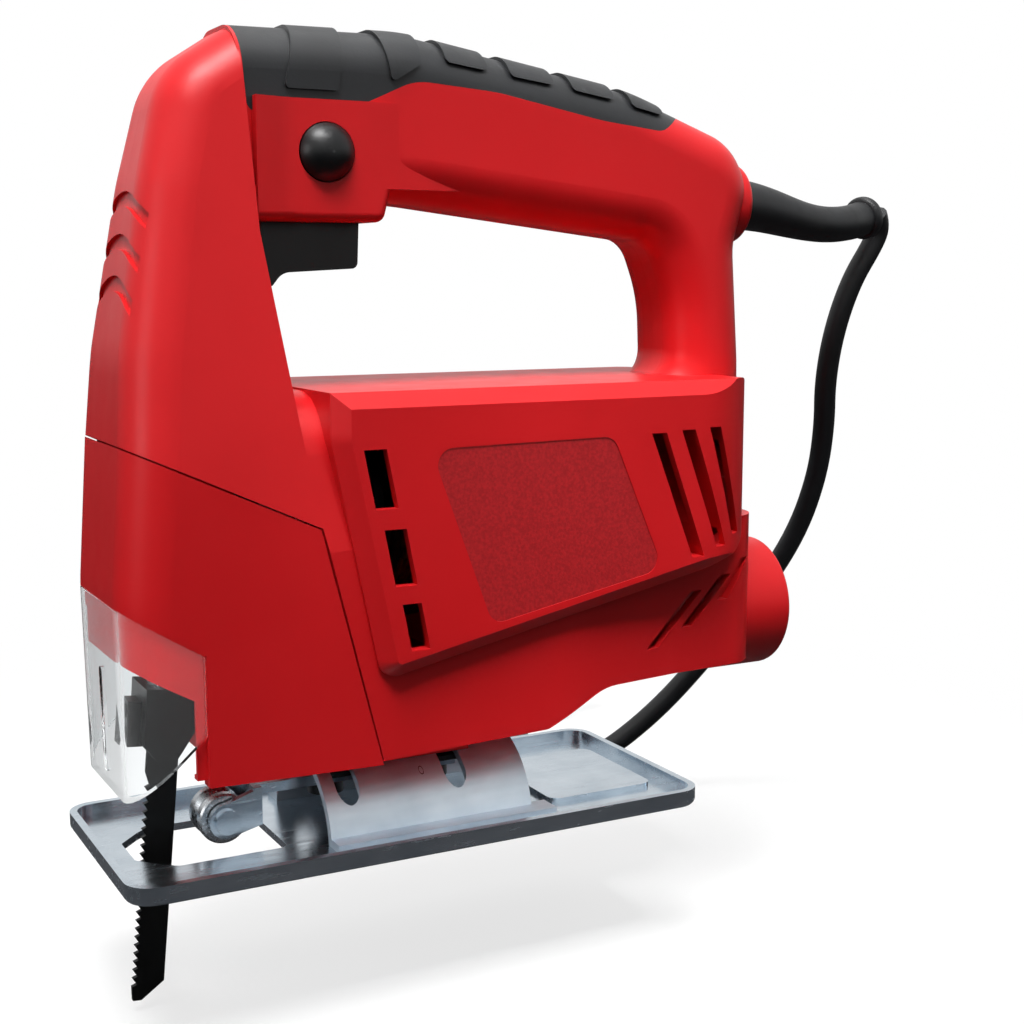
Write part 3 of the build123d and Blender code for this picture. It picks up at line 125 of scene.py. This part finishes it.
# steps of the surfaces: round a wire, round the zero, along a spring's turn, along the lip's corner
WIRE_STEPS = 8
RING_STEPS = 32
TURN_STEPS = 24
CORNER_STEPS = 17

# cord, in millimetres, on the same points as its solids
CORD_WIDE = 6.4
COIL_CENTRE = (60.0, 137.5)
COIL_FLOOR = -32.8
COIL_LAYER = 6.9
COIL_RADIUS = 47.5
COIL_PITCH = 7.0
HALF_TURNS = 6
POINTS_PER_HALF = 8
LEAD_POINTS = (
    (157.5, 8.2, 151.0),
    (160.3, 9.6, 147.6),
    (159.0, 10.9, 142.4),
    (153.2, 13.0, 132.0),
    (149.9, 16.0, 117.5),
    (150.6, 20.2, 102.5),
    (154.8, 25.0, 89.0),
    (157.5, 31.0, 73.0),
    (157.5, 40.0, 54.0),
    (152.0, 51.0, 34.0),
    (142.0, 63.0, 13.0),
    (129.0, 74.0, -8.0),
    (113.0, 83.0, -23.5),
    (95.0, 88.7, -31.2),
    (79.0, 90.0, -32.8),
    (66.4, 90.0, -32.8),
)
TAIL_POINTS = (
    (66.4, 185.0, -25.9),
    (78.0, 185.0, -25.9),
    (93.0, 182.6, -26.0),
    (112.0, 182.6, -26.0),
)

# scales of a noise's coordinates: even, drawn out along x, y or z, and in rings round x
EVEN = (1.0, 1.0, 1.0)
ALONG_X = (0.12, 1.0, 1.0)
ALONG_Y = (1.0, 0.1, 1.0)
ALONG_Z = (1.0, 1.0, 0.1)
ROUND_X = (1.0, 0.25, 0.25)

# values of a pattern at which its shades and its roughness reach their ends
SHADE_ENDS = (0.3, 0.7)
ROUGH_ENDS = (0.25, 0.75)

# core sheets: spacing in millimetres, drawn coarser than the real sheets so that they show
SHEET_SPACING = 1.0
# length after which a band pattern of scale 1 repeats
BAND_PERIOD = 0.314


def linear(hex_colour):
    """Linear RGBA from an sRGB hex value, by the sRGB curve."""
    parts = np.array([int(hex_colour[i : i + 2], 16) for i in (1, 3, 5)]) / 255
    low, high = parts / 12.92, ((parts + 0.055) / 1.055) ** 2.4
    return (*np.where(parts <= 0.04045, low, high).tolist(), 1.0)


def add_node(tree, kind, sockets=None, stops=(), **settings):
    """One shader node, with its settings and links.

    Each socket takes a value or a link from another node, and stops are the places and hex shades of a ramp.
    """
    made = tree.nodes.new(kind)
    for key, value in settings.items():
        setattr(made, key, value)
    for key, value in (sockets or {}).items():
        if isinstance(value, bpy.types.NodeSocket):
            tree.links.new(value, made.inputs[key])
        else:
            made.inputs[key].default_value = value
    for number, (place, shade) in enumerate(stops):
        made.color_ramp.elements[number].position = place
        made.color_ramp.elements[number].color = linear(shade)
    return made


def start_material(name, even):
    """New material with a Principled shader whose even values sit on its own sockets."""
    material = bpy.data.materials.new(name)
    material.use_nodes = True
    tree = material.node_tree
    shader = tree.nodes["Principled BSDF"]
    for key, value in even.items():
        shader.inputs[key].default_value = value
    return material, tree, shader


def grained(name, even, shade=None, rough=None, skin=None, shade_ends=SHADE_ENDS):
    """Material whose shade, roughness and relief each follow their own noise on Object coordinates.

    Each of the three gives the grain in millimetres, the noise's detail and the scale of its coordinates.
    Then come two hex shades, two roughness values, or the relief's height in millimetres and its strength.
    """
    material, tree, shader = start_material(name, even)
    place = add_node(tree, "ShaderNodeTexCoord").outputs["Object"]
    for socket, pattern in (("Base Color", shade), ("Roughness", rough), ("Normal", skin)):
        if pattern is None:
            continue
        grain, detail, stretch, first, second = pattern
        drawn = add_node(tree, "ShaderNodeMapping", {"Vector": place, "Scale": stretch}).outputs[0]
        noise = {"Vector": drawn, "Scale": 1 / (grain * MM), "Detail": detail}
        spots = add_node(tree, "ShaderNodeTexNoise", noise).outputs["Fac"]
        if socket == "Base Color":
            stops = zip(shade_ends, (first, second))
            made = add_node(tree, "ShaderNodeValToRGB", {"Fac": spots}, stops)
        elif socket == "Roughness":
            low, high = ROUGH_ENDS
            ends = {"From Min": low, "From Max": high, "To Min": first, "To Max": second}
            made = add_node(tree, "ShaderNodeMapRange", {"Value": spots, **ends})
        else:
            height = {"Height": spots, "Distance": first * MM, "Strength": second}
            made = add_node(tree, "ShaderNodeBump", height)
        tree.links.new(made.outputs[0], shader.inputs[socket])
    return material


# Red ABS, moulded in a spark-eroded tool: satin, with a fine even grain and slow shifts in shade.
red = grained(
    "red_abs",
    {"IOR": 1.53, "Specular IOR Level": 0.28},
    shade=(40, 3, EVEN, "#C9161B", "#D21B20"),
    rough=(9, 4, EVEN, 0.34, 0.42),
    skin=(0.5, 1, EVEN, 0.02, 0.35),
)

# Thermoplastic rubber over the handle: matt charcoal, stippled, with a faint soft sheen.
rubber = grained(
    "grip_rubber",
    {"IOR": 1.5, "Sheen Weight": 0.05, "Sheen Roughness": 0.5},
    shade=(12, 3, EVEN, "#0E1013", "#16181C"),
    rough=(5, 3, EVEN, 0.42, 0.54),
    skin=(0.7, 2, EVEN, 0.05, 0.5),
)

# Black ABS of the trigger and the lock button: satin, polished a little by fingers.
black_plastic = grained(
    "black_abs",
    {"IOR": 1.53, "Specular IOR Level": 0.35},
    shade=(15, 3, EVEN, "#08090A", "#0E0F11"),
    rough=(6, 3, EVEN, 0.3, 0.42),
    skin=(0.6, 1, EVEN, 0.02, 0.35),
)

# Embossed polyester film in dark red with a pebbled grain, drawn at 0.7 mm so that it shows.
label_film = grained(
    "label_grain",
    {"IOR": 1.5},
    shade=(0.7, 3, EVEN, "#9C151A", "#B81E23"),
    rough=(0.7, 3, EVEN, 0.3, 0.5),
    skin=(0.7, 3, EVEN, 0.06, 0.6),
    shade_ends=(0.35, 0.65),
)


def zinc_plate(name, smooth, rough):
    """Pressed steel with bright zinc: cool mirror-like metal with faint drawing marks and small ripples."""
    return grained(
        name,
        {"Metallic": 1.0},
        shade=(14, 3, EVEN, "#BECAD4", "#D5DFE7"),
        rough=(1.2, 3, ALONG_X, smooth, rough),
        skin=(16, 2, EVEN, 0.25, 0.25),
    )


# The saddle is duller than the sole plate.
zinc = zinc_plate("zinc_plate", 0.16, 0.3)
saddle_zinc = zinc_plate("zinc_saddle", 0.42, 0.56)

# Ground steel of shafts, rollers and gears: neutral metal with fine grinding lines.
steel = grained(
    "bright_steel",
    {"Metallic": 1.0},
    shade=(8, 3, EVEN, "#A9ACB0", "#C4C7CA"),
    rough=(0.5, 2, ALONG_Y, 0.2, 0.36),
)

# Blackened steel of the clamp and the screws: dark, half metallic, slightly oily.
oxide = grained(
    "black_oxide",
    {"Metallic": 0.5},
    shade=(6, 3, EVEN, "#0C0C0D", "#161718"),
    rough=(2.5, 3, EVEN, 0.32, 0.5),
    skin=(0.6, 2, EVEN, 0.02, 0.4),
)

# Hardened blade steel with a black finish and lengthwise rolling marks.
black_blade = grained(
    "blade_steel",
    {"Metallic": 0.6},
    shade=(5, 3, EVEN, "#080808", "#101112"),
    rough=(0.8, 2, ALONG_Z, 0.36, 0.52),
)

# Clear polycarbonate, injection moulded: water-clear wall, glossy outside. Its gloss is in the coat, and
# the wall bends light less than the real one, or its round would go black.
clear = grained(
    "clear_guard",
    {
        "Base Color": linear("#F4F7F8"),
        "Transmission Weight": 1.0,
        "Roughness": 0.02,
        "IOR": 1.06,
        "Coat Weight": 1.0,
        "Coat Roughness": 0.04,
        "Coat IOR": 1.5,
    },
    skin=(20, 2, EVEN, 0.08, 0.1),
)

# Soft PVC or rubber of the cord, its sleeve and the plug: near black, dull, faintly dusty.
sheath = grained(
    "cord_sheath",
    {"IOR": 1.5},
    shade=(8, 3, EVEN, "#0D0E10", "#15171A"),
    rough=(3, 3, EVEN, 0.42, 0.56),
    skin=(0.8, 2, EVEN, 0.02, 0.4),
)

# Oil-filled sintered bronze of the bushes: warm, dull metal with pores.
bronze = grained(
    "sintered_bronze",
    {"Metallic": 1.0, "Roughness": 0.42},
    shade=(0.6, 3, EVEN, "#8A6A35", "#B08A4A"),
)

# Die-cast aluminium of the gear plate: pale grey metal with a fine cast skin.
aluminium = grained(
    "cast_aluminium",
    {"Metallic": 1.0, "Roughness": 0.45},
    shade=(4, 3, EVEN, "#9DA0A3", "#B9BCBF"),
    skin=(0.5, 2, EVEN, 0.03, 0.4),
)

# Enamelled copper wire, drawn as fine rings so that the winding shows.
copper = grained(
    "winding_copper",
    {"Metallic": 0.9, "Roughness": 0.35},
    shade=(0.9, 2, ROUND_X, "#6B2F17", "#B5622E"),
    skin=(0.9, 2, ROUND_X, 0.1, 0.6),
)

# Pressed carbon of the brushes: dull, almost black.
carbon = grained("carbon_block", {"Roughness": 0.7}, shade=(1, 3, EVEN, "#151515", "#222222"))


def core_sheets():
    """Stacked silicon steel sheets of the motor: grey edges in lines along the shaft."""
    material, tree, shader = start_material("core_sheets", {"Metallic": 0.8, "Roughness": 0.5})
    place = add_node(tree, "ShaderNodeTexCoord").outputs["Object"]
    scale = BAND_PERIOD / (SHEET_SPACING * MM)
    lines = add_node(tree, "ShaderNodeTexWave", {"Vector": place, "Scale": scale}).outputs["Fac"]
    stops = zip(SHADE_ENDS, ("#3A3B3D", "#6A6C6F"))
    edges = add_node(tree, "ShaderNodeValToRGB", {"Fac": lines}, stops)
    tree.links.new(edges.outputs["Color"], shader.inputs["Base Color"])
    return material


def dress(finish, *names):
    """Gives solids of the frame one finish."""
    for name in names:
        mesh = nodes[name].data
        mesh.materials.clear()
        mesh.materials.append(finish)


dress(red, "left_housing", "right_housing", "nose_cover")
dress(rubber, "left_grip", "right_grip")
dress(black_plastic, "trigger", "lock_button", "switch_body", "fan", "cord_tie")
dress(label_film, "label_plate")
dress(clear, "blade_guard")
dress(saddle_zinc, "base_saddle")
dress(zinc, "base_plate", "base_nuts", "roller_bracket", "roller_pin")
# the clamp shoe gets this dark finish too: partly its own blackened steel, partly painted shade that makes
# the saddle's slots in front of it look dark inside
dress(oxide, "base_screws", "housing_screws", "blade_clamp", "clamp_screws", "clamp_shoe")
dress(black_blade, "blade")
dress(steel, "guide_roller", "plunger", "drive_gear", "crank_roller", "gear_axle", "armature_shaft")
dress(steel, "front_bearing", "rear_bearing", "trigger_spring", "lock_spring", "brush_springs")
dress(bronze, "lower_bush", "upper_bush", "brush_holders")
dress(aluminium, "gear_plate")
dress(core_sheets(), "armature_core", "field_core")
dress(copper, "armature_winding", "field_coils", "commutator")
dress(carbon, "carbon_brushes")
dress(sheath, "strain_relief", "cord_lead", "cord_coil", "cord_tail", "plug")


def coil_points():
    """Turns of the put-away cord: half circles that shrink by half a pitch each, climb and grow again.

    Each half circle has its own centre on the y line, so its ends meet the next one without a kink.
    """
    points = []
    centre, radius, level, side = COIL_CENTRE[1], COIL_RADIUS, COIL_FLOOR, -1
    angles = (np.arange(POINTS_PER_HALF) + 0.5) * np.pi / POINTS_PER_HALF
    reach = 1 / math.cos(np.pi / POINTS_PER_HALF / 2)
    for step in range(2 * HALF_TURNS + 1):
        climbs = step == HALF_TURNS
        x = COIL_CENTRE[0] + side * radius * reach * np.sin(angles)
        y = centre + side * radius * reach * np.cos(angles)
        z = level + (COIL_LAYER * angles / np.pi if climbs else 0 * angles)
        points += np.column_stack([x, y, z]).tolist()
        level += COIL_LAYER if climbs else 0
        grow = -COIL_PITCH / 2 if step < HALF_TURNS else COIL_PITCH / 2
        centre, radius, side = centre + side * grow, radius + grow, -side
    return points


def make_cord(finish):
    """The whole free cord as one smooth curve: down from the sleeve, round the coil and out to the plug."""
    points = np.array([*LEAD_POINTS, *coil_points(), *TAIL_POINTS]) * MM
    curve = bpy.data.curves.new("power_cord", "CURVE")
    curve.dimensions = "3D"
    spline = curve.splines.new("NURBS")
    spline.points.add(len(points) - 1)
    spline.points.foreach_set("co", np.column_stack([points, np.ones(len(points))]).ravel())
    spline.order_u = 3
    spline.use_endpoint_u = True
    spline.resolution_u = 6
    curve.bevel_depth = CORD_WIDE / 2 * MM
    curve.bevel_resolution = 4
    curve.use_fill_caps = True
    curve.materials.append(finish)
    made = bpy.data.objects.new("power_cord", curve)
    bpy.context.scene.collection.objects.link(made)
    return made, points


cord, cord_route = make_cord(sheath)
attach(cord, "housing")
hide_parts("cord_lead", "cord_coil", "cord_tail")


def new_piece(name, surface, finish, body, smooth=True):
    """Mesh piece from points in millimetres and faces, with its finish, on a body of the frame."""
    points, faces = surface
    mesh = bpy.data.meshes.new(name)
    mesh.from_pydata((points.reshape(-1, 3) * MM).tolist(), [], faces)
    mesh.polygons.foreach_set("use_smooth", [smooth] * len(faces))
    mesh.materials.append(finish)
    made = bpy.data.objects.new(name, mesh)
    bpy.context.scene.collection.objects.link(made)
    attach(made, body)
    return made


def tube_faces(rows, steps):
    """Faces of an open tube on a grid of points, with both ends closed."""
    index = np.arange(rows * steps).reshape(rows, steps)
    up = np.roll(index, -1, axis=1)
    faces = np.stack([index[:-1], up[:-1], up[1:], index[1:]], axis=-1).reshape(-1, 4).tolist()
    return [*faces, index[0, ::-1].tolist(), index[-1].tolist()]


def zero_surface():
    """Zero on the saddle's round, a closed ring: P(u, v) = centre + E(u) + wire (cos v N(u) + sin v K).

    E(u) is an ellipse along the saddle and up its round, N(u) its outward normal and K the round's normal.
    """
    lean = math.radians(ZERO_ANGLE)
    out = np.array((0.0, -math.cos(lean), math.sin(lean)))
    across, along = np.array((1.0, 0.0, 0.0)), np.array((0.0, math.sin(lean), math.cos(lean)))
    centre = ZERO_X * across + (SADDLE_RADIUS - ZERO_SUNK) * out
    u = (np.arange(RING_STEPS) * 2 * np.pi / RING_STEPS)[:, None, None]
    v = (np.arange(WIRE_STEPS) * 2 * np.pi / WIRE_STEPS)[None, :, None]
    line = ZERO_HALF_WIDE * np.cos(u) * across + ZERO_HALF_HIGH * np.sin(u) * along
    normal = ZERO_HALF_HIGH * np.cos(u) * across + ZERO_HALF_WIDE * np.sin(u) * along
    normal /= np.linalg.norm(normal, axis=-1, keepdims=True)
    points = centre + line + ZERO_WIRE * (np.cos(v) * normal + np.sin(v) * np.cross(across, along))
    index = np.arange(RING_STEPS * WIRE_STEPS).reshape(RING_STEPS, WIRE_STEPS)
    ahead, up = np.roll(index, -1, axis=0), np.roll(index, -1, axis=1)
    faces = np.stack([index, ahead, np.roll(ahead, -1, axis=1), up], axis=-1).reshape(-1, 4)
    return points, faces.tolist()


def lip_surface():
    """Wall that hangs behind the guard, a U in plan: P(u, v) = path(u, inset(v)) + height(u, v) Z.

    The path goes along one side, round a quarter circle, across the front, and the same on the other side.
    v goes round the wall's four corners: the low ones follow the chamber's slanting edge, and the high ones
    meet its ceiling.
    """
    turn = np.linspace(0.0, np.pi / 2, CORNER_STEPS)
    middle, side = LIP_FRONT + LIP_ROUND, LIP_HALF_WIDE - LIP_ROUND
    rear_half = LIP_HALF_WIDE + LIP_TAPER * (LIP_REAR - middle)
    rows = []
    for inset, high in ((0.0, False), (0.0, True), (LIP_THICK, True), (LIP_THICK, False)):
        bend = LIP_ROUND - inset
        x = np.concatenate([[LIP_REAR], middle - bend * np.sin(turn)])
        y = np.concatenate([[rear_half - inset], side + bend * np.cos(turn)])
        x, y = np.concatenate([x, x[::-1]]), np.concatenate([-y, y[::-1]])
        z = np.full(len(x), LIP_TOP) if high else np.interp(x, *CHAMBER_EDGE)
        rows.append(np.column_stack([x, y, z]))
    points = np.stack(rows, axis=1)
    return points, tube_faces(len(points), len(rows))


def guard_surface():
    """The guard's own surface with its loose triangles joined, so that its round is smooth in clear glass."""
    joined = bmesh.new()
    joined.from_mesh(nodes["blade_guard"].data)
    bmesh.ops.remove_doubles(joined, verts=joined.verts, dist=JOIN_REACH)
    joined.verts.index_update()
    points = np.array([corner.co[:] for corner in joined.verts]) / MM
    faces = [[corner.index for corner in face.verts] for face in joined.faces]
    joined.free()
    return points, faces


def spring_surface(foot, axis, long, radius, turns, wire):
    """Coil spring: P(u, v) = foot + radius N(u) + climb(u) K + wire (cos v N(u) + sin v M(u)).

    K is the axis, N turns about it, and M is square to N and to the wire's own direction.
    """
    foot, axis, first = np.array(foot), np.array(axis), np.array((1.0, 0.0, 0.0))
    second = np.cross(axis, first)
    u = np.linspace(0.0, 2 * np.pi * turns, TURN_STEPS * turns + 1)[:, None, None]
    v = (np.arange(WIRE_STEPS) * 2 * np.pi / WIRE_STEPS)[None, :, None]
    rise = (long - 2 * wire) / (2 * np.pi * turns)
    out = np.cos(u) * first + np.sin(u) * second
    ahead = radius * (np.cos(u) * second - np.sin(u) * first) + rise * axis
    side = np.cross(ahead / np.linalg.norm(ahead, axis=-1, keepdims=True), out)
    line = foot + wire * axis + radius * out + rise * u * axis
    points = line + wire * (np.cos(v) * out + np.sin(v) * side)
    return points, tube_faces(len(points), WIRE_STEPS)


new_piece("bevel_zero", zero_surface(), oxide, "base")
new_piece("chamber_lip", lip_surface(), red, "housing", smooth=False)

shield = new_piece("clear_shield", guard_surface(), clear, "housing")
shield.data.set_sharp_from_angle(angle=math.radians(EDGE_ANGLE))
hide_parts("blade_guard")

# return springs of the trigger and the lock button, in place of the frame's own springs
for name, (joint, foot, axis, long, radius, turns, wire, travel) in SPRINGS.items():
    surface = spring_surface(foot, axis, long, radius, turns, wire)
    coil = new_piece(f"{name}_return", surface, steel, "housing")
    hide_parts(f"{name}_spring")
    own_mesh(coil)


def add_camera():
    """Camera at the photograph's place, turned about the vertical and tilted down."""
    data = bpy.data.cameras.new("camera")
    data.sensor_width = SENSOR
    data.lens = SENSOR * FOCAL_PIXELS / IMAGE_SIDE
    data.clip_start, data.clip_end = CLIP
    camera = bpy.data.objects.new("camera", data)
    camera.location = Vector(CAMERA_PLACE) * MM
    camera.rotation_euler = (math.radians(90 - CAMERA_TILT), 0, math.radians(CAMERA_TURN))
    bpy.context.scene.collection.objects.link(camera)
    bpy.context.scene.camera = camera


def add_lamp(name, place, target, size, power, spread):
    """Square soft light of a given side, aimed at a point, with its beam held to a spread in degrees."""
    data = bpy.data.lights.new(name, "AREA")
    data.shape = "SQUARE"
    data.size = size
    data.energy = power
    data.spread = math.radians(spread)
    lamp = bpy.data.objects.new(name, data)
    lamp.location = place
    lamp.rotation_euler = (Vector(target) - Vector(place)).to_track_quat("-Z", "Y").to_euler()
    bpy.context.scene.collection.objects.link(lamp)


def straight_rays(tree):
    """1 for rays from the camera and rays through glass, 0 for all others."""
    path = add_node(tree, "ShaderNodeLightPath").outputs
    seen = {0: path["Is Camera Ray"], 1: path["Is Transmission Ray"]}
    return add_node(tree, "ShaderNodeMath", seen, operation="MAXIMUM").outputs[0]


def add_floor(level):
    """Large floor: to the camera white with the object's soft shadow, to every other ray a dark table."""
    mesh = bpy.data.meshes.new("floor")
    corners = [(x * FLOOR_HALF, y * FLOOR_HALF, level) for x, y in ((-1, -1), (1, -1), (1, 1), (-1, 1))]
    mesh.from_pydata(corners, [], [(0, 1, 2, 3)])
    floor = bpy.data.objects.new("floor", mesh)
    bpy.context.scene.collection.objects.link(floor)
    material, tree, shader = start_material("floor_paper", {"Roughness": 0.9, "Specular IOR Level": 0.0})
    straight = straight_rays(tree)
    stops = ((0.0, TABLE_SHADE), (1.0, "#FFFFFF"))
    paper = add_node(tree, "ShaderNodeValToRGB", {"Fac": straight}, stops)
    tree.links.new(paper.outputs["Color"], shader.inputs["Base Color"])
    place = add_node(tree, "ShaderNodeTexCoord").outputs["Object"]
    reach = add_node(tree, "ShaderNodeVectorMath", {0: place}, operation="LENGTH").outputs["Value"]
    fade = {"Value": reach, "From Min": FADE_NEAR, "From Max": FADE_FAR, "To Min": WHITE_NEAR, "To Max": 1.0}
    away = add_node(tree, "ShaderNodeMapRange", fade, interpolation_type="SMOOTHSTEP").outputs["Result"]
    share = add_node(tree, "ShaderNodeMath", {0: away, 1: straight}, operation="MULTIPLY").outputs[0]
    white = add_node(tree, "ShaderNodeEmission", {"Strength": 1.0}).outputs[0]
    mixed = add_node(tree, "ShaderNodeMixShader", {0: share, 1: shader.outputs[0], 2: white})
    tree.links.new(mixed.outputs[0], tree.nodes["Material Output"].inputs["Surface"])
    mesh.materials.append(material)


def light_world():
    """Surround: white to the camera and through glass, to other rays brighter above than below."""
    world = bpy.data.worlds.new("studio")
    bpy.context.scene.world = world
    world.use_nodes = True
    tree = world.node_tree
    ray = add_node(tree, "ShaderNodeTexCoord").outputs["Generated"]
    height = add_node(tree, "ShaderNodeSeparateXYZ", {"Vector": ray}).outputs["Z"]
    skies = []
    for low, high, level in (DIFFUSE_SKY, MIRROR_SKY):
        climb = {"Value": height, "From Min": low, "From Max": high, "To Min": SKY_BELOW, "To Max": level}
        glow = add_node(tree, "ShaderNodeMapRange", climb, interpolation_type="SMOOTHSTEP")
        skies.append(glow.outputs["Result"])
    mirror = add_node(tree, "ShaderNodeLightPath").outputs["Is Glossy Ray"]
    sky = add_node(tree, "ShaderNodeMix", {"Factor": mirror, "A": skies[0], "B": skies[1]}).outputs[0]
    strength = add_node(tree, "ShaderNodeMix", {"Factor": straight_rays(tree), "A": sky, "B": 1.0}).outputs[0]
    tree.links.new(strength, tree.nodes["Background"].inputs["Strength"])
    tree.nodes["Background"].inputs["Color"].default_value = (1, 1, 1, 1)


add_camera()
add_floor(solids_box[0].z - FLOOR_DROP)
light_world()
for name, lamp in LAMPS.items():
    add_lamp(name, *lamp)
bpy.context.scene.view_settings.view_transform = "Standard"
